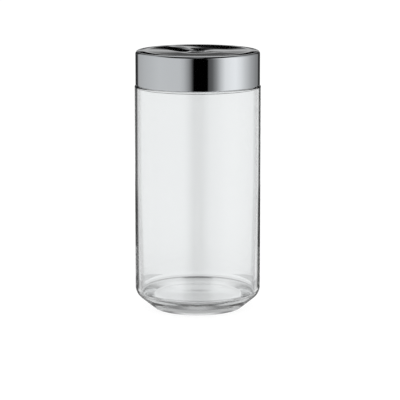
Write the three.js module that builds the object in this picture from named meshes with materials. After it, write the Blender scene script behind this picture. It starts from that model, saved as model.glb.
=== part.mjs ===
// Lidded glass canister: a clear glass jar with a push-on polished steel lid.
// Millimetres, +Z up. The origin is the centre of the foot, on the surface that the jar stands on.

import * as THREE from 'three';

// ---- Driving dimensions -------------------------------------------------------------------------

// Glass jar
const jarRadius = 52.5; // outside of the straight side
const jarHeight = 187.8; // foot to the shoulder ledge
const glassWall = 2.8; // neck and upper side
const heelWall = 4.4; // side, down where it meets the inside floor
const taperHeight = 100.0; // below this height the side thickens towards the floor
const floorThickness = 13.5; // foot to the inside floor
const floorRounding = 1.5; // inside corner between the floor and the side
const shoulderThickness = 1.4; // from the ledge down to where the inside starts to narrow
const shoulderRounding = 1.2;
const innerShoulderRounding = 1.0;
const neckRootRounding = 0.5;
const rimRounding = 1.3;
const footRadius = 37.1; // where the slanted heel meets the surface
const footRounding = 1.6;
const footRingWidth = 5.0; // the ring that the jar stands on
const pushUp = 0.5; // how far the underside rises inside the foot ring
const heelHeight = 12.7; // where the slant would meet the straight side
const heelRounding = 10.4;

// Steel lid shell
const lidSetback = 0.7; // the skirt stands this far inside the jar's side
const lidHeight = 28.8; // hem to crest
const sheetThickness = 0.7;
const edgeRounding = 2.3; // between the skirt and the top
const edgeDrop = 0.6; // the top falls this far from the crest to its edge
const crestInset = 7.3; // the crest lies this far inside the skirt
const crestRounding = 40.0;
const dishDepth = 1.3; // from the crest to the dimple's lip
const dimpleRadius = 6.2;
const dimpleDepth = 0.8;
const dimpleFloorRadius = 4.6;
const dimpleRounding = 0.9;
const hemRounding = 1.0;
const hemLip = 0.15; // flat part of the turned-in hem

// Plastic liner
const roofThickness = 1.8; // the disc above the neck's rim
const plugWall = 2.2;
const plugDepth = 18.0; // from the underside of the roof to the underside of the plug
const plugFloor = 1.6;
const plugRounding = 1.5;
const grooveDepth = 1.1;
const grooveHeight = 6.4;
const grooveBelowRoof = 6.0; // from the underside of the roof to the top of the groove

// Seal ring
const finCount = 2;
const finThickness = 1.0;

// Clearances
const seatGap = 0.3; // between pieces that touch
const hemGap = 0.4; // between the shoulder ledge and the hem
const neckClearance = 0.9; // between the neck and the skirt
const plugClearance = 1.6; // between the plug and the inside of the neck

// Facets
const segments = 48; // around the axis
const arcStep = THREE.MathUtils.degToRad(22.5); // along a rounding

// ---- Sizes that follow --------------------------------------------------------------------------

const lidRadius = jarRadius - lidSetback;
const lidBottom = jarHeight + hemGap;
const lidTop = lidBottom + lidHeight;
const linerRadius = lidRadius - sheetThickness - seatGap;
const linerTop = lidTop - edgeDrop - sheetThickness - seatGap;
const roofBottom = linerTop - roofThickness;
const neckRadius = lidRadius - sheetThickness - neckClearance;
const rimHeight = roofBottom - seatGap;
const neckBore = neckRadius - glassWall;
const jarBore = jarRadius - glassWall;
const plugRadius = neckBore - plugClearance;
const plugBottom = roofBottom - plugDepth;
const grooveTop = roofBottom - grooveBelowRoof;
const grooveBottom = grooveTop - grooveHeight;
const grooveRadius = plugRadius - grooveDepth;

// ---- Helpers ------------------------------------------------------------------------------------

// One corner of a profile, at a radius and a height, with the radius of the arc that rounds it.
function corner(radius, height, rounding = 0) {
  return { point: new THREE.Vector2(radius, height), rounding };
}

// The points of the arc that rounds a corner, tangent to the straight stretches before and after it.
// The arc takes at most half of a stretch that it shares with another arc.
function roundedCorner(before, here, after) {
  const toBefore = before.point.clone().sub(here.point);
  const toAfter = after.point.clone().sub(here.point);
  const roomBefore = toBefore.length() / (before.rounding > 0 ? 2 : 1);
  const roomAfter = toAfter.length() / (after.rounding > 0 ? 2 : 1);
  const room = Math.min(roomBefore, roomAfter);
  toBefore.normalize();
  toAfter.normalize();
  const halfAngle = Math.acos(toBefore.dot(toAfter)) / 2;
  const reach = Math.min(here.rounding / Math.tan(halfAngle), room);
  const radius = reach * Math.tan(halfAngle);
  const bisector = toBefore.clone().add(toAfter).normalize();
  const centre = here.point.clone().addScaledVector(bisector, radius / Math.sin(halfAngle));
  const start = here.point.clone().addScaledVector(toBefore, reach).sub(centre);
  const turn = Math.sign(toAfter.cross(toBefore)) * (Math.PI - 2 * halfAngle);
  const steps = Math.max(1, Math.ceil(Math.abs(turn) / arcStep));
  const origin = new THREE.Vector2();
  return Array.from({ length: steps + 1 }, (_, step) =>
    start.clone().rotateAround(origin, (turn * step) / steps).add(centre));
}

// The profile through a list of corners. A closed profile ends where it starts.
function profile(corners, closed = false) {
  const points = corners.flatMap((here, index) => {
    if (here.rounding === 0) {
      return [here.point];
    }
    return roundedCorner(corners.at(index - 1), here, corners[(index + 1) % corners.length]);
  });
  return closed ? [...points, points[0].clone()] : points;
}

// The profile of a sheet whose outside runs from the axis to its free edge.
function sheetProfile(outside, thickness) {
  const normals = outside.slice(1).map((point, index) => {
    const along = point.clone().sub(outside[index]).normalize();
    return new THREE.Vector2(along.y, -along.x);
  });
  const inside = outside.map((point, index) => {
    const first = normals[Math.max(index - 1, 0)];
    const second = normals[Math.min(index, normals.length - 1)];
    const mitre = first.clone().add(second).divideScalar(1 + first.dot(second));
    return point.clone().addScaledVector(mitre, thickness);
  });
  return [...inside, ...outside.toReversed()];
}

// A named piece turned around the Z axis.
function turnedPiece(name, points, material) {
  const geometry = new THREE.LatheGeometry(points, segments);
  geometry.rotateX(Math.PI / 2);
  const mesh = new THREE.Mesh(geometry, new THREE.MeshStandardMaterial(material));
  mesh.name = name;
  return mesh;
}

// ---- Pieces -------------------------------------------------------------------------------------

// One glass vessel: foot ring, slanted heel, thick base, straight side, shoulder and plain neck.
function glassJar() {
  const innerShoulder = jarHeight - shoulderThickness;
  const points = profile([
    corner(0, pushUp),
    corner(footRadius - footRingWidth, 0, footRounding),
    corner(footRadius, 0, footRounding),
    corner(jarRadius, heelHeight, heelRounding),
    corner(jarRadius, jarHeight, shoulderRounding),
    corner(neckRadius, jarHeight, neckRootRounding),
    corner(neckRadius, rimHeight, rimRounding),
    corner(neckBore, rimHeight, rimRounding),
    corner(neckBore, innerShoulder + jarBore - neckBore, innerShoulderRounding),
    corner(jarBore, innerShoulder, innerShoulderRounding),
    corner(jarBore, taperHeight),
    corner(jarRadius - heelWall, floorThickness, floorRounding),
    corner(0, floorThickness),
  ]);
  return turnedPiece('glass_jar', points, {
    color: 0xe6ebea, roughness: 0.04, metalness: 0, transparent: true, opacity: 0.35,
  });
}

// One pressed sheet: dimple, shallow dish, crest, rounded edge, skirt and a narrow turned-in hem.
function lidShell() {
  const dishBottom = lidTop - dishDepth;
  const outside = profile([
    corner(0, dishBottom - dimpleDepth),
    corner(dimpleFloorRadius, dishBottom - dimpleDepth, dimpleRounding),
    corner(dimpleRadius, dishBottom, dimpleRounding),
    corner(lidRadius - crestInset, lidTop, crestRounding),
    corner(lidRadius, lidTop - edgeDrop, edgeRounding),
    corner(lidRadius, lidBottom, hemRounding),
    corner(lidRadius - hemRounding - hemLip, lidBottom),
  ]);
  return turnedPiece('lid_shell', sheetProfile(outside, sheetThickness), {
    color: 0xc8cbcd, roughness: 0.06, metalness: 1,
  });
}

// The insert: a roof over the neck, and a plug with a groove and a closed floor.
function lidLiner() {
  const points = profile([
    corner(0, plugBottom),
    corner(plugRadius, plugBottom, plugRounding),
    corner(plugRadius, grooveBottom),
    corner(grooveRadius, grooveBottom),
    corner(grooveRadius, grooveTop),
    corner(plugRadius, grooveTop),
    corner(plugRadius, roofBottom),
    corner(linerRadius, roofBottom),
    corner(linerRadius, linerTop, edgeRounding - sheetThickness - seatGap),
    corner(plugRadius - plugWall, linerTop),
    corner(plugRadius - plugWall, plugBottom + plugFloor),
    corner(0, plugBottom + plugFloor),
  ]);
  return turnedPiece('lid_liner', points, { color: 0xd9d9d6, roughness: 0.45, metalness: 0 });
}

// A soft band in the plug's groove, with fins that reach out to the inside of the neck.
function sealRing() {
  const bottom = grooveBottom + seatGap;
  const top = grooveTop - seatGap;
  const bandRadius = plugRadius + seatGap;
  const finRadius = neckBore - seatGap;
  const pitch = (top - bottom) / finCount;
  const fins = Array.from({ length: finCount }, (_, index) => {
    const middle = bottom + pitch * (index + 0.5);
    return [
      corner(bandRadius, middle - finThickness),
      corner(finRadius, middle - finThickness / 2, finThickness / 2),
      corner(finRadius, middle + finThickness / 2, finThickness / 2),
      corner(bandRadius, middle + finThickness),
    ];
  }).flat();
  const points = profile([
    corner(grooveRadius + seatGap, bottom),
    corner(bandRadius, bottom),
    ...fins,
    corner(bandRadius, top),
    corner(grooveRadius + seatGap, top),
  ], true);
  return turnedPiece('seal_ring', points, { color: 0xe3e6e4, roughness: 0.5, metalness: 0 });
}

// ---- Assembly -----------------------------------------------------------------------------------

const lid = new THREE.Group();
lid.add(lidShell(), lidLiner(), sealRing());

const canister = new THREE.Group();
canister.add(glassJar(), lid);

export default canister;
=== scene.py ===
"""Looks of the lidded glass canister: turned glass, steel, plastic and silicone in a bright studio."""

import math

import bpy
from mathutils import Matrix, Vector


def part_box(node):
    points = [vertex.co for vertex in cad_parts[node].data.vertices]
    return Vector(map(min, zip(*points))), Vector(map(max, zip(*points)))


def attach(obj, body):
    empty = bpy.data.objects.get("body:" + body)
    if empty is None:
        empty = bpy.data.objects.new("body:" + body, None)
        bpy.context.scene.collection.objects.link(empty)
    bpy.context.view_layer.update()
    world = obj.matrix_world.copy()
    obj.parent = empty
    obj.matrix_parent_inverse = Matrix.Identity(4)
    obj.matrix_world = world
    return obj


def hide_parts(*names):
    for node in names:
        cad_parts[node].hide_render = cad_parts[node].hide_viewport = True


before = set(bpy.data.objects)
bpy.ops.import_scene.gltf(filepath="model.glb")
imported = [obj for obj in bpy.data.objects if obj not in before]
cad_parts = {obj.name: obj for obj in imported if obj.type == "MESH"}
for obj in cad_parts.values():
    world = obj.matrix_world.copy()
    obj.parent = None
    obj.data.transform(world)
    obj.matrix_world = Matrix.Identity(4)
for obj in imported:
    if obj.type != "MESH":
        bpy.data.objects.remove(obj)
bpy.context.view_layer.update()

MM = 0.001
SEGMENTS = 256  # around the axis; a multiple of 4, so the pieces reach the frame's box
ARC_STEP = math.radians(5)  # the most that a rounding turns between two points
STRETCH = 6.0 * MM  # the most that lies between two points of a profile
JAR_STRETCH = 3.0 * MM  # less, because a facet bends all that shows through the glass
LID_STRETCH = 1.2 * MM  # less, because the lid's top has creases and a fold
ON_AXIS = 1e-7  # a point nearer to the axis than this is on it

# ---- Sizes: the outer ones come from the frame, the rest are the canister's own ------------------

_, jar_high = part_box("glass_jar")
shell_low, shell_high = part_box("lid_shell")
liner_low, liner_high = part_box("lid_liner")
seal_low, seal_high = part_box("seal_ring")

JAR_RADIUS = jar_high.x
RIM_HEIGHT = jar_high.z
LID_RADIUS = shell_high.x
LID_BOTTOM = shell_low.z
LID_TOP = shell_high.z
LINER_RADIUS = liner_high.x
LINER_TOP = liner_high.z
PLUG_BOTTOM = liner_low.z
SEAL_RADIUS = seal_high.x
SEAL_BOTTOM = seal_low.z
SEAL_TOP = seal_high.z

# The jar.
GLASS_WALL = 2.8 * MM
HEEL_WALL = 4.4 * MM
TAPER_HEIGHT = 100.0 * MM
TAPER_ROUNDING = 300.0 * MM
FLOOR_THICKNESS = 13.5 * MM
FLOOR_ROUNDING = 1.5 * MM
SHOULDER_THICKNESS = 1.4 * MM
SHOULDER_ROUNDING = 1.2 * MM
INNER_SHOULDER_ROUNDING = 1.0 * MM
NECK_ROOT_ROUNDING = 0.5 * MM
RIM_ROUNDING = 1.3 * MM
FOOT_RADIUS = 37.1 * MM
FOOT_ROUNDING = 1.6 * MM
FOOT_RING_WIDTH = 5.0 * MM
PUSH_UP = 0.5 * MM
HEEL_HEIGHT = 12.7 * MM
HEEL_ROUNDING = 10.4 * MM

# The lid's steel shell.
SHEET = 0.7 * MM
EDGE_ROUNDING = 2.3 * MM
EDGE_DROP = 0.6 * MM
CREST_INSET = 7.3 * MM
CREST_ROUNDING = 40.0 * MM
DISH_DEPTH = 1.3 * MM
DIMPLE_RADIUS = 6.2 * MM
DIMPLE_DEPTH = 0.8 * MM
DIMPLE_FLOOR_RADIUS = 4.6 * MM
DIMPLE_ROUNDING = 0.9 * MM
HEM_ROUNDING = 1.0 * MM
HEM_LIP = 0.15 * MM
HEM_GAP = 0.4 * MM
CREASES = [(126, 9, 0.012), (-21, 5, 0.003)]  # bearing and width in degrees, rise per unit of reach
FOLD_BEARING = 116  # the way that the fold runs from the middle, in degrees from X
FOLD_STEEP = (18.0 * MM, 5.0 * MM)  # foot and top of its steep flank, beside its line
FOLD_GENTLE = (-28.0 * MM, 5.0 * MM)  # foot and top of its gentle flank
FOLD_END = (-20.0 * MM, -4.0 * MM)  # where it starts and where it is whole, along its line
FOLD_HEIGHT = 0.6 * MM
RELIEF_FADE = 30.0 * MM  # the creases and the fold run out over this much, inside the crest

# The lid's liner, which holds the seal ring in a groove of its plug.
ROOF_THICKNESS = 1.8 * MM
PLUG_WALL = 2.2 * MM
PLUG_FLOOR = 1.6 * MM
PLUG_ROUNDING = 1.5 * MM
GROOVE_DEPTH = 1.1 * MM
PLUG_CLEARANCE = 1.6 * MM
NECK_CLEARANCE = 0.9 * MM
SEAT_GAP = 0.3 * MM
FIN_COUNT = 2
FIN = 1.0 * MM  # height of a fin's tip, half that of its root
SOFTENED = 0.3 * MM  # small rounding of the moulded edges

CREST_RADIUS = LID_RADIUS - CREST_INSET
JAR_HEIGHT = LID_BOTTOM - HEM_GAP
JAR_BORE = JAR_RADIUS - GLASS_WALL
NECK_RADIUS = LID_RADIUS - SHEET - NECK_CLEARANCE
NECK_BORE = NECK_RADIUS - GLASS_WALL
PLUG_RADIUS = NECK_BORE - PLUG_CLEARANCE


# ---- Turned shapes -------------------------------------------------------------------------------

def rounded_corner(before, here, after, rounding, shared_before, shared_after):
    """Points of the arc that rounds a corner, on at most half of a stretch shared with another arc."""
    to_before = before - here
    to_after = after - here
    room_before = to_before.length / (2 if shared_before else 1)
    room_after = to_after.length / (2 if shared_after else 1)
    to_before.normalize()
    to_after.normalize()
    half = to_before.angle(to_after) / 2
    reach = min(rounding / math.tan(half), room_before, room_after)
    radius = reach * math.tan(half)
    centre = here + (to_before + to_after).normalized() * (radius / math.sin(half))
    spoke = here + to_before * reach - centre
    side = 1 if to_after.x * to_before.y - to_after.y * to_before.x > 0 else -1
    turn = side * (math.pi - 2 * half)
    steps = max(1, math.ceil(abs(turn) / ARC_STEP))
    points = []
    for step in range(steps + 1):
        angle = turn * step / steps
        c, s = math.cos(angle), math.sin(angle)
        points.append(centre + Vector((c * spoke.x - s * spoke.y, s * spoke.x + c * spoke.y)))
    return points


def profile(corners, closed=False):
    """The points through corners (radius, height) or (radius, height, rounding)."""
    flat = [Vector(corner[:2]) for corner in corners]
    points = []
    for index, corner in enumerate(corners):
        if len(corner) == 2:
            points.append(flat[index])
            continue
        following = (index + 1) % len(flat)
        shared = [len(corners[neighbour]) > 2 for neighbour in (index - 1, following)]
        points += rounded_corner(flat[index - 1], flat[index], flat[following], corner[2], *shared)
    return points + [points[0]] if closed else points


def sheet_profile(outside, thickness):
    """Both sides of a sheet whose outside runs from the axis to its free edge."""
    normals = []
    for first, second in zip(outside, outside[1:]):
        along = (second - first).normalized()
        normals.append(Vector((along.y, -along.x)))
    inside = []
    for index, point in enumerate(outside):
        first = normals[max(index - 1, 0)]
        second = normals[min(index, len(normals) - 1)]
        inside.append(point + (first + second) * (thickness / (1 + first.dot(second))))
    return inside + outside[::-1]


def refined(points, longest):
    """The same profile with its long straight stretches divided."""
    result = [points[0]]
    for first, second in zip(points, points[1:]):
        parts = max(1, math.ceil((second - first).length / longest))
        result += [first.lerp(second, part / parts) for part in range(1, parts + 1)]
    return result


def turned(name, points, body, material, segments=SEGMENTS, longest=STRETCH, raised=None):
    """A closed mesh turned about Z, riding on a body; raised(x, y) is added to its heights."""
    points = refined(points, longest)
    vertices, rings = [], []
    for point in points:
        if point.x < ON_AXIS:
            rings.append([len(vertices)])
            vertices.append((0.0, 0.0, point.y))
            continue
        rings.append(list(range(len(vertices), len(vertices) + segments)))
        for index in range(segments):
            angle = 2 * math.pi * index / segments
            vertices.append((point.x * math.cos(angle), point.x * math.sin(angle), point.y))
    if points[0] == points[-1] and len(rings[0]) > 1:
        del vertices[rings[-1][0]:]
        rings[-1] = rings[0]
    if raised:
        vertices = [(x, y, z + raised(x, y)) for x, y, z in vertices]
    faces = []
    for low, high in zip(rings, rings[1:]):
        for index in range(segments):
            after = (index + 1) % segments
            if len(low) == 1:
                faces.append((low[0], high[after], high[index]))
            elif len(high) == 1:
                faces.append((low[index], low[after], high[0]))
            else:
                faces.append((low[index], low[after], high[after], high[index]))
    mesh = bpy.data.meshes.new(name)
    mesh.from_pydata(vertices, [], faces)
    mesh.polygons.foreach_set("use_smooth", [True] * len(mesh.polygons))
    mesh.materials.append(material)
    mesh.validate()
    piece = bpy.data.objects.new(name, mesh)
    bpy.context.scene.collection.objects.link(piece)
    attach(piece, body)
    return piece


# ---- Materials -----------------------------------------------------------------------------------

# Colours, roughnesses, depths of the relief, and how many features of a noise lie along a metre.
GLASS_COLOUR = (0.914, 0.924, 0.927, 1)
GLASS_WAVES = 0.06 * MM
GLASS_WAVE_COUNT = 28
GLASS_RIPPLES = 0.004 * MM
GLASS_RIPPLE_COUNT = 110
STEEL_COLOUR = (0.608, 0.63, 0.65, 1)
STEEL_ROUGHNESS = (0.025, 0.075)
STEEL_SMEAR_COUNT = 60
STEEL_WAVES = 0.02 * MM
STEEL_WAVE_COUNT = 35
SPUN_LINES = 0.00003 * MM
SPUN_LINE_COUNT = 2500
PLASTIC_COLOURS = ((0.62, 0.62, 0.60, 1), (0.70, 0.70, 0.68, 1))
PLASTIC_ROUGHNESS = (0.36, 0.5)
PLASTIC_CLOUD_COUNT = 45
PLASTIC_GRAIN = 0.008 * MM
PLASTIC_GRAIN_COUNT = 2600
SILICONE_COLOURS = ((0.68, 0.70, 0.69, 1), (0.76, 0.78, 0.77, 1))
SILICONE_ROUGHNESS = (0.42, 0.62)
SILICONE_CLOUD_COUNT = 90
SILICONE_DUST = 0.004 * MM
SILICONE_DUST_COUNT = 1500
SILICONE_SCATTER = 0.3
SILICONE_SCATTER_REACH = 2.0 * MM


def new_material(name):
    """A node material, its nodes and links, and its one Principled shader."""
    material = bpy.data.materials.new(name)
    material.use_nodes = True
    nodes = material.node_tree.nodes
    return material, nodes, material.node_tree.links, nodes["Principled BSDF"]


def feed(links, source, socket):
    """Link a socket to its source, or set it where the source is a plain value."""
    if isinstance(source, bpy.types.NodeSocket):
        links.new(source, socket)
    else:
        socket.default_value = source


def texture_place(nodes, links, stretch=(1, 1, 1)):
    """The piece's own coordinates in metres, stretched along each axis."""
    place = nodes.new("ShaderNodeTexCoord")
    mapping = nodes.new("ShaderNodeMapping")
    mapping.inputs["Scale"].default_value = stretch
    links.new(place.outputs["Object"], mapping.inputs["Vector"])
    return mapping.outputs["Vector"]


def texture_noise(nodes, links, features_per_metre, detail, stretch=(1, 1, 1)):
    """Soft noise from 0 to 1, drawn out along an axis whose stretch is under 1."""
    noise = nodes.new("ShaderNodeTexNoise")
    noise.inputs["Scale"].default_value = features_per_metre
    noise.inputs["Detail"].default_value = detail
    links.new(texture_place(nodes, links, stretch), noise.inputs["Vector"])
    return noise.outputs["Fac"]


def texture_range(nodes, links, source, low, high):
    """A value from 0 to 1 spread over a range."""
    spread = nodes.new("ShaderNodeMapRange")
    spread.inputs["To Min"].default_value = low
    spread.inputs["To Max"].default_value = high
    links.new(source, spread.inputs["Value"])
    return spread.outputs["Result"]


def texture_step(nodes, links, source, start, end):
    """A smooth step, 0 up to the start and 1 from the end on."""
    step = nodes.new("ShaderNodeMapRange")
    step.interpolation_type = "SMOOTHSTEP"
    step.inputs["From Min"].default_value = start
    step.inputs["From Max"].default_value = end
    links.new(source, step.inputs["Value"])
    return step.outputs["Result"]


def texture_math(nodes, links, operation, *values):
    """One step of arithmetic on numbers and sockets."""
    step = nodes.new("ShaderNodeMath")
    step.operation = operation
    for value, socket in zip(values, step.inputs):
        feed(links, value, socket)
    return step.outputs[0]


def texture_mix(nodes, links, share, first, second, blend="MIX"):
    """The first colour with a share of the second mixed into it."""
    mix = nodes.new("ShaderNodeMix")
    mix.data_type = "RGBA"
    mix.blend_type = blend
    feed(links, share, mix.inputs["Factor"])
    feed(links, first, mix.inputs["A"])
    feed(links, second, mix.inputs["B"])
    return mix.outputs["Result"]


def texture_reach(nodes, links):
    """The distance from the axis, then X and Z, in metres."""
    place = nodes.new("ShaderNodeSeparateXYZ")
    links.new(texture_place(nodes, links), place.inputs[0])
    across, along, height = place.outputs
    squares = [texture_math(nodes, links, "MULTIPLY", side, side) for side in (across, along)]
    reach = texture_math(nodes, links, "SQRT", texture_math(nodes, links, "ADD", *squares))
    return reach, across, height


def grey(level):
    """A grey of a brightness from 0 to 1, or brighter for a light."""
    return (level, level, level, 1)


def grey_ramp(nodes, links, source, stops, span):
    """Greys over an angle from -span to span, by stops of (angle, brightness); the source is 0 to 1."""
    ramp = nodes.new("ShaderNodeValToRGB")
    elements = ramp.color_ramp.elements
    for index, (angle, level) in enumerate(stops):
        position = angle / (2 * span) + 0.5
        element = elements[index] if index < 2 else elements.new(position)
        element.position = position
        element.color = grey(level)
    links.new(source, ramp.inputs[0])
    return ramp.outputs["Color"]


def relief(nodes, links, height, depth, below=None):
    """The normal of a height from 0 to 1 that stands for a depth in metres, on top of another relief."""
    bump = nodes.new("ShaderNodeBump")
    bump.inputs["Strength"].default_value = 1.0
    bump.inputs["Distance"].default_value = depth
    links.new(height, bump.inputs["Height"])
    if below:
        links.new(below, bump.inputs["Normal"])
    return bump.outputs["Normal"]


def glass_material():
    """Clear pressed glass, very slightly grey, with the faint waves of a moulded wall."""
    material, nodes, links, shader = new_material("clear_glass")
    shader.inputs["Base Color"].default_value = GLASS_COLOUR
    shader.inputs["Transmission Weight"].default_value = 1.0
    shader.inputs["Roughness"].default_value = 0.0
    shader.inputs["IOR"].default_value = 1.5
    waves = texture_noise(nodes, links, GLASS_WAVE_COUNT, detail=1, stretch=(1, 1, 0.35))
    ripples = texture_noise(nodes, links, GLASS_RIPPLE_COUNT, detail=2)
    normal = relief(nodes, links, waves, GLASS_WAVES)
    links.new(relief(nodes, links, ripples, GLASS_RIPPLES, normal), shader.inputs["Normal"])
    return material


def steel_material():
    """Mirror polished stainless steel with soft waves, fine spun lines and a few wiped smears."""
    material, nodes, links, shader = new_material("polished_steel")
    shader.inputs["Base Color"].default_value = STEEL_COLOUR
    shader.inputs["Metallic"].default_value = 1.0
    smears = texture_noise(nodes, links, STEEL_SMEAR_COUNT, detail=4, stretch=(1, 1, 0.3))
    links.new(texture_range(nodes, links, smears, *STEEL_ROUGHNESS), shader.inputs["Roughness"])
    waves = texture_noise(nodes, links, STEEL_WAVE_COUNT, detail=1)
    normal = relief(nodes, links, waves, STEEL_WAVES)
    reach, _, height = texture_reach(nodes, links)
    spun = nodes.new("ShaderNodeTexNoise")
    spun.noise_dimensions = "1D"
    spun.inputs["Scale"].default_value = SPUN_LINE_COUNT
    links.new(texture_math(nodes, links, "ADD", reach, height), spun.inputs["W"])
    links.new(relief(nodes, links, spun.outputs["Fac"], SPUN_LINES, normal), shader.inputs["Normal"])
    return material


def plastic_material():
    """Satin moulded plastic: a fine spark eroded grain and slightly uneven colour."""
    material, nodes, links, shader = new_material("liner_plastic")
    clouds = texture_noise(nodes, links, PLASTIC_CLOUD_COUNT, detail=3)
    grain = texture_noise(nodes, links, PLASTIC_GRAIN_COUNT, detail=2)
    links.new(texture_mix(nodes, links, clouds, *PLASTIC_COLOURS), shader.inputs["Base Color"])
    links.new(texture_range(nodes, links, clouds, *PLASTIC_ROUGHNESS), shader.inputs["Roughness"])
    links.new(relief(nodes, links, grain, PLASTIC_GRAIN), shader.inputs["Normal"])
    return material


def silicone_material():
    """Milky silicone: soft, slightly see-through and a little dusty."""
    material, nodes, links, shader = new_material("seal_silicone")
    clouds = texture_noise(nodes, links, SILICONE_CLOUD_COUNT, detail=3)
    dust = texture_noise(nodes, links, SILICONE_DUST_COUNT, detail=3)
    links.new(texture_mix(nodes, links, clouds, *SILICONE_COLOURS), shader.inputs["Base Color"])
    shader.inputs["Subsurface Weight"].default_value = SILICONE_SCATTER
    shader.inputs["Subsurface Radius"].default_value = [SILICONE_SCATTER_REACH] * 3
    shader.inputs["Subsurface Scale"].default_value = 1.0
    links.new(texture_range(nodes, links, dust, *SILICONE_ROUGHNESS), shader.inputs["Roughness"])
    links.new(relief(nodes, links, dust, SILICONE_DUST), shader.inputs["Normal"])
    return material


# ---- Pieces --------------------------------------------------------------------------------------

def glass_jar(material):
    """The jar: a thick heel on a ring foot, a straight wall, and a neck that goes up into the lid."""
    inner_shoulder = JAR_HEIGHT - SHOULDER_THICKNESS
    piece = turned("glass_jar_fine", profile([
        (0, PUSH_UP),
        (FOOT_RADIUS - FOOT_RING_WIDTH, 0, FOOT_ROUNDING),
        (FOOT_RADIUS, 0, FOOT_ROUNDING),
        (JAR_RADIUS, HEEL_HEIGHT, HEEL_ROUNDING),
        (JAR_RADIUS, JAR_HEIGHT, SHOULDER_ROUNDING),
        (NECK_RADIUS, JAR_HEIGHT, NECK_ROOT_ROUNDING),
        (NECK_RADIUS, RIM_HEIGHT, RIM_ROUNDING),
        (NECK_BORE, RIM_HEIGHT, RIM_ROUNDING),
        (NECK_BORE, inner_shoulder + JAR_BORE - NECK_BORE, INNER_SHOULDER_ROUNDING),
        (JAR_BORE, inner_shoulder, INNER_SHOULDER_ROUNDING),
        (JAR_BORE, TAPER_HEIGHT, TAPER_ROUNDING),
        (JAR_RADIUS - HEEL_WALL, FLOOR_THICKNESS, FLOOR_ROUNDING),
        (0, FLOOR_THICKNESS),
    ]), "jar", material, segments=2 * SEGMENTS, longest=JAR_STRETCH)
    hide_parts("glass_jar")


def smooth_step(value, start, end):
    """A smooth step from 0 at the start to 1 at the end."""
    share = min(max((value - start) / (end - start), 0), 1)
    return share * share * (3 - 2 * share)


def dish_relief(across, along):
    """How far two radial creases and a broad fold raise a point of the lid's dish."""
    reach = math.hypot(across, along)
    bearing = math.degrees(math.atan2(along, across))
    creases = sum(rise * math.exp(-((bearing - middle) / width) ** 2) for middle, width, rise in CREASES)
    turn = math.radians(FOLD_BEARING)
    aside = along * math.cos(turn) - across * math.sin(turn)
    ahead = across * math.cos(turn) + along * math.sin(turn)
    flanks = smooth_step(aside, *FOLD_STEEP) * smooth_step(aside, *FOLD_GENTLE)
    fold = flanks * smooth_step(ahead, *FOLD_END)
    fade = smooth_step(reach, CREST_RADIUS, CREST_RADIUS - RELIEF_FADE)
    return (creases * reach + fold * FOLD_HEIGHT) * fade


def lid_shell(material):
    """The lid's steel sheet: a shallow dish with a dimple, a soft crest, a skirt and a turned-in hem."""
    dish_bottom = LID_TOP - DISH_DEPTH
    outside = profile([
        (0, dish_bottom - DIMPLE_DEPTH),
        (DIMPLE_FLOOR_RADIUS, dish_bottom - DIMPLE_DEPTH, DIMPLE_ROUNDING),
        (DIMPLE_RADIUS, dish_bottom, DIMPLE_ROUNDING),
        (CREST_RADIUS, LID_TOP, CREST_ROUNDING),
        (LID_RADIUS, LID_TOP - EDGE_DROP, EDGE_ROUNDING),
        (LID_RADIUS, LID_BOTTOM, HEM_ROUNDING),
        (LID_RADIUS - HEM_ROUNDING - HEM_LIP, LID_BOTTOM),
    ])
    piece = turned("lid_shell_fine", sheet_profile(outside, SHEET), "lid", material,
                   longest=LID_STRETCH, raised=dish_relief)
    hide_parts("lid_shell")


def lid_liner(material):
    """The plastic cup in the lid: a roof under the steel and a plug with a groove for the seal."""
    roof_bottom = LINER_TOP - ROOF_THICKNESS
    groove_bottom = SEAL_BOTTOM - SEAT_GAP
    groove_top = SEAL_TOP + SEAT_GAP
    groove_radius = PLUG_RADIUS - GROOVE_DEPTH
    piece = turned("lid_liner_fine", profile([
        (0, PLUG_BOTTOM),
        (PLUG_RADIUS, PLUG_BOTTOM, PLUG_ROUNDING),
        (PLUG_RADIUS, groove_bottom, SOFTENED),
        (groove_radius, groove_bottom, SOFTENED),
        (groove_radius, groove_top, SOFTENED),
        (PLUG_RADIUS, groove_top, SOFTENED),
        (PLUG_RADIUS, roof_bottom, SOFTENED),
        (LINER_RADIUS, roof_bottom, SOFTENED),
        (LINER_RADIUS, LINER_TOP, EDGE_ROUNDING - SHEET - SEAT_GAP),
        (PLUG_RADIUS - PLUG_WALL, LINER_TOP, SOFTENED),
        (PLUG_RADIUS - PLUG_WALL, PLUG_BOTTOM + PLUG_FLOOR, SOFTENED),
        (0, PLUG_BOTTOM + PLUG_FLOOR),
    ]), "lid", material)
    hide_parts("lid_liner")


def seal_ring(material):
    """The silicone ring in the plug's groove, with fins that press on the neck."""
    back = PLUG_RADIUS - GROOVE_DEPTH + SEAT_GAP
    band = PLUG_RADIUS + SEAT_GAP
    pitch = (SEAL_TOP - SEAL_BOTTOM) / FIN_COUNT
    fins = []
    for index in range(FIN_COUNT):
        middle = SEAL_BOTTOM + pitch * (index + 0.5)
        fins += [
            (band, middle - FIN),
            (SEAL_RADIUS, middle - FIN / 2, FIN / 2),
            (SEAL_RADIUS, middle + FIN / 2, FIN / 2),
            (band, middle + FIN),
        ]
    corners = [(back, SEAL_BOTTOM), (band, SEAL_BOTTOM), *fins, (band, SEAL_TOP), (back, SEAL_TOP)]
    piece = turned("seal_ring_fine", profile(corners, closed=True), "lid", material)
    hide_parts("seal_ring")


# ---- Studio --------------------------------------------------------------------------------------

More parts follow.
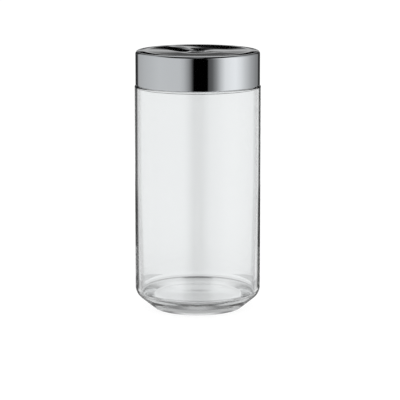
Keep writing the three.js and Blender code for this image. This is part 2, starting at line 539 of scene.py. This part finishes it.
CAMERA_DISTANCE = 1.7512  # metres in front of the axis
CAMERA_HEIGHT = 0.4073
CAMERA_SIDE = 0.0019
CAMERA_PITCH = 0.1789  # radians below level
CAMERA_LENS = 190.9  # in millimetres, as the sensor is
CAMERA_SENSOR = 36
CAMERA_CLIP = 0.05
FLOOR_LIGHT = 1.25  # what the studio gives to dull surfaces
FLOOR_GREY = 0.12
FLOOR_GLOW = 0.93  # the floor's own light, which evens out the shadow on it
FLOOR_REACH = 6.0
FLOOR_DROP = 0.2 * MM

# The studio's brightness by direction. Bearings are in degrees: 0 in front of the canister, 90 on its
# right and 180 behind it. Heights are in degrees up from level.

# What the steel and the outside of the glass mirror, by bearing.
MIRROR = [
    (-180, 1.0), (-171, 1.0), (-169, 0.04), (-147, 0.04), (-141, 0.55), (-115, 0.68), (-75, 0.8),
    (-33, 0.78), (-25, 0.67), (-16, 0.4), (-9, 0.05), (-7, 0.0), (18.4, 0.0), (19.2, 0.09),
    (27, 0.16), (35, 0.4), (42, 0.73), (52, 1.1), (63, 1.2), (74, 1.25), (86, 1.1), (99, 0.83),
    (115, 0.56), (135, 0.34), (145, 0.3), (149, 0.05), (169, 0.04), (171, 1.0),
]
# The ceiling in it, by height, and the share of it that is ceiling, by height.
MIRROR_ABOVE = [(-90, 0.0), (82, 0.0), (86, 0.6), (90, 0.6)]
MIRROR_ABOVE_SHARE = [(-90, 0.0), (45, 0.0), (60, 1.0), (90, 1.0)]
# The backdrop in it, by height, and the share of it that is backdrop, by bearing.
MIRROR_BEHIND = [
    (-90, 0.1), (-20, 0.1), (-18, 1.0), (-1, 1.0), (0, 0.08), (3.6, 0.08), (4.3, 0.2), (5.3, 0.35),
    (6.2, 0.6), (6.9, 0.52), (7.4, 0.2), (7.6, 0.0), (12.8, 0.0), (14, 0.65), (26, 0.65), (32, 0.0),
    (82, 0.0), (86, 0.6), (90, 0.6),
]
MIRROR_BEHIND_SHARE = [(-180, 1.0), (-172, 1.0), (-169, 0.0), (169, 0.0), (172, 1.0), (180, 1.0)]
# The table in it, by bearing, and the share of it that is table, by height.
MIRROR_BELOW = [
    (-180, 0.35), (-165, 0.4), (-140, 1.0), (-60, 1.0), (-33, 0.75), (-16, 0.4), (-9, 0.05),
    (-7, 0.0), (18, 0.0), (19, 0.09), (35, 0.4), (52, 1.0), (140, 1.0), (165, 0.4), (180, 0.35),
]
MIRROR_BELOW_SHARE = [(-90, 1.0), (-28, 1.0), (-20, 0.0), (90, 0.0)]
# What mirrors inside the glass, by bearing.
INSIDE = [
    (-180, 1.0), (-171, 1.0), (-164, 0.6), (-158, 0.2), (-147, 0.2), (-144, 1.0), (-24, 1.0),
    (-13, 0.45), (-8, 0.0), (8, 0.0), (17, 0.45), (28, 1.0), (144, 1.0), (147, 0.2), (158, 0.2),
    (164, 0.6), (171, 1.0), (180, 1.0),
]
# The same just below level and in a band above level, and the share of each, by height.
INSIDE_LOW = [
    (-180, 1.0), (-176, 1.0), (-172, 0.5), (-168, 0.2), (-163, 0.12), (-153, 0.1), (-151, 0.3),
    (-148, 0.75), (-142, 0.95), (-24, 1.0), (-13, 0.45), (-8, 0.0), (8, 0.0), (17, 0.45), (28, 1.0),
    (152, 1.0), (154, 0.8), (156, 0.35), (160, 0.1), (163, 0.03), (172, 0.03), (175, 0.5), (177, 1.0),
]
INSIDE_LOW_SHARE = [(-90, 0.0), (-25, 0.0), (-20, 1.0), (-3, 1.0), (-1, 0.0), (90, 0.0)]
INSIDE_HIGH = [
    (-180, 0.58), (-145, 0.58), (-140, 1.0), (-24, 1.0), (-13, 0.45), (-8, 0.0), (8, 0.0), (17, 0.45),
    (28, 1.0), (140, 1.0), (145, 0.58), (180, 0.58),
]
INSIDE_HIGH_SHARE = [(-90, 0.0), (13.2, 0.0), (13.4, 1.0), (22, 1.0), (28, 0.0), (90, 0.0)]
# How all that mirrors inside the glass is dimmed, by height.
INSIDE_DIMMING = [
    (-90, 1.0), (-5, 1.0), (-3, 0.85), (4, 0.3), (8.5, 0.3), (9.2, 0.95), (13.1, 0.95), (13.4, 0.85),
    (18, 0.8), (28, 0.65), (60, 0.6), (66, 0.25), (70, 0.0), (80, 0.0), (81, 0.55), (90, 0.55),
]
# What shows straight through the glass, by bearing, and how it is dimmed, by height.
THROUGH = [
    (-180, 1.0), (-166, 1.0), (-160, 0.8), (-153, 0.3), (-145, 0.8), (-120, 1.0), (120, 1.0),
    (145, 0.8), (153, 0.3), (160, 0.8), (166, 1.0),
]
THROUGH_DIMMING = [(-90, 1.0), (-40, 1.0), (-14, 0.93), (-12.3, 1.0), (-7.1, 1.0), (-6.6, 0.85), (90, 0.85)]

# The jar's shade on the floor: how much light it lets through by its share of the reach, in a band
# straight in front of and behind the jar's middle, and beside that band.
SHADE_REACH = 130 * MM
SHADE_DROP = 0.1 * MM
SHADE_BAND = 8 * MM  # half the width of the band
SHADE_FADE = 16 * MM  # as far from the middle, nothing is left of the band
SHADE_MIDDLE = [
    (0.0, 0.78), (0.4, 0.8), (0.43, 0.4), (0.46, 0.0), (0.54, 0.0), (0.58, 0.5), (0.78, 0.6),
    (0.8, 0.75), (0.95, 0.75), (0.97, 1.0),
]
SHADE = [
    (0.0, 0.95), (0.27, 0.95), (0.3, 1.0), (0.42, 1.0), (0.45, 0.8), (0.47, 0.65), (0.54, 0.55),
    (0.58, 0.55), (0.78, 0.6), (0.8, 0.75), (0.95, 0.75), (0.97, 1.0),
]


def add_camera():
    """The photograph's view: from in front and a little above, with a long lens."""
    data = bpy.data.cameras.new("camera")
    data.lens = CAMERA_LENS
    data.sensor_width = CAMERA_SENSOR
    data.clip_start = CAMERA_CLIP
    camera = bpy.data.objects.new("camera", data)
    camera.location = (CAMERA_SIDE, -CAMERA_DISTANCE, CAMERA_HEIGHT)
    camera.rotation_euler = (math.pi / 2 - CAMERA_PITCH, 0, 0)
    bpy.context.scene.collection.objects.link(camera)
    bpy.context.scene.camera = camera


def add_world():
    """A soft studio: white behind, dark gaps beside it, a grey left, a bright right and a dark front."""
    world = bpy.data.worlds.new("studio")
    world.use_nodes = True
    bpy.context.scene.world = world
    nodes, links = world.node_tree.nodes, world.node_tree.links
    place = nodes.new("ShaderNodeTexCoord")
    split = nodes.new("ShaderNodeSeparateXYZ")
    links.new(place.outputs["Generated"], split.inputs[0])
    side, depth, rise = split.outputs

    def arithmetic(operation, *values):
        return texture_math(nodes, links, operation, *values)

    def mixed(share, first, second, blend="MIX"):
        return texture_mix(nodes, links, share, first, second, blend)

    # Both angles as shares from 0 to 1, for the ramps.
    bearing = arithmetic("ARCTAN2", side, arithmetic("MULTIPLY", depth, -1))
    bearing = arithmetic("MULTIPLY_ADD", bearing, 0.5 / math.pi, 0.5)
    elevation = arithmetic("MULTIPLY_ADD", arithmetic("ARCSINE", rise), 1 / math.pi, 0.5)

    def around(stops):
        return grey_ramp(nodes, links, bearing, stops, 180)

    def upward(stops):
        return grey_ramp(nodes, links, elevation, stops, 90)

    mirror = mixed(upward(MIRROR_ABOVE_SHARE), around(MIRROR), upward(MIRROR_ABOVE))
    mirror = mixed(around(MIRROR_BEHIND_SHARE), mirror, upward(MIRROR_BEHIND))
    mirror = mixed(upward(MIRROR_BELOW_SHARE), mirror, around(MIRROR_BELOW))
    inside = mixed(upward(INSIDE_HIGH_SHARE), around(INSIDE), around(INSIDE_HIGH))
    inside = mixed(upward(INSIDE_LOW_SHARE), inside, around(INSIDE_LOW))
    inside = mixed(1.0, inside, upward(INSIDE_DIMMING), "MULTIPLY")
    through = mixed(1.0, around(THROUGH), upward(THROUGH_DIMMING), "MULTIPLY")

    # Mirrored light sees the first, or the second if it also went through glass. Light that only
    # went through glass sees the third. Dull surfaces and the camera see plain white.
    path = nodes.new("ShaderNodeLightPath")
    reflected = arithmetic("MINIMUM", path.outputs["Glossy Depth"], 1)
    refracted = arithmetic("MINIMUM", path.outputs["Transmission Depth"], 1)
    level = mixed(refracted, mirror, inside)
    level = mixed(reflected, through, level)
    level = mixed(path.outputs["Is Diffuse Ray"], level, grey(FLOOR_LIGHT))
    level = mixed(path.outputs["Is Camera Ray"], level, grey(1.0))
    links.new(level, nodes["Background"].inputs["Color"])
    links.new(nodes["Background"].outputs[0], nodes["World Output"].inputs["Surface"])


def stage_square(name, reach, height, material):
    """A level square of the studio's floor."""
    mesh = bpy.data.meshes.new(name)
    corners = [(-reach, -reach), (reach, -reach), (reach, reach), (-reach, reach)]
    mesh.from_pydata([(across, along, height) for across, along in corners], [], [(0, 1, 2, 3)])
    mesh.materials.append(material)
    square = bpy.data.objects.new(name, mesh)
    bpy.context.scene.collection.objects.link(square)
    return square


def add_floor():
    """A plain pale floor that the mirror and the glass don't reflect."""
    material, _, _, shader = new_material("floor_paper")
    shader.inputs["Base Color"].default_value = grey(FLOOR_GREY)
    shader.inputs["Roughness"].default_value = 1.0
    shader.inputs["Specular IOR Level"].default_value = 0.0
    shader.inputs["Emission Color"].default_value = grey(1.0)
    shader.inputs["Emission Strength"].default_value = FLOOR_GLOW
    floor = stage_square("floor", FLOOR_REACH, -FLOOR_DROP, material)
    floor.visible_glossy = False
    floor.visible_transmission = False


def add_contact_shade():
    """The shade that the jar casts on the floor, which darkens only what shows through the glass."""
    material, nodes, links, shader = new_material("contact_shade")
    nodes.remove(shader)
    reach, across, _ = texture_reach(nodes, links)
    share = texture_math(nodes, links, "DIVIDE", reach, SHADE_REACH)
    distance = texture_math(nodes, links, "ABSOLUTE", across)
    beside = texture_step(nodes, links, distance, SHADE_BAND, SHADE_FADE)

    def outward(stops):
        return grey_ramp(nodes, links, share, [(2 * stop - 1, level) for stop, level in stops], 1)

    veil = nodes.new("ShaderNodeBsdfTransparent")
    level = texture_mix(nodes, links, beside, outward(SHADE_MIDDLE), outward(SHADE))
    links.new(level, veil.inputs["Color"])
    links.new(veil.outputs[0], nodes["Material Output"].inputs["Surface"])
    shade = stage_square("contact_shade", SHADE_REACH, -SHADE_DROP, material)
    shade.visible_camera = False
    shade.visible_diffuse = False
    shade.visible_glossy = False
    shade.visible_shadow = False


glass_jar(glass_material())
lid_shell(steel_material())
lid_liner(plastic_material())
seal_ring(silicone_material())
add_camera()
add_world()
add_floor()
add_contact_shade()
bpy.context.scene.view_settings.view_transform = "Standard"
bpy.context.scene.cycles.max_bounces = 32
bpy.context.scene.cycles.glossy_bounces = 24
bpy.context.scene.cycles.transmission_bounces = 32
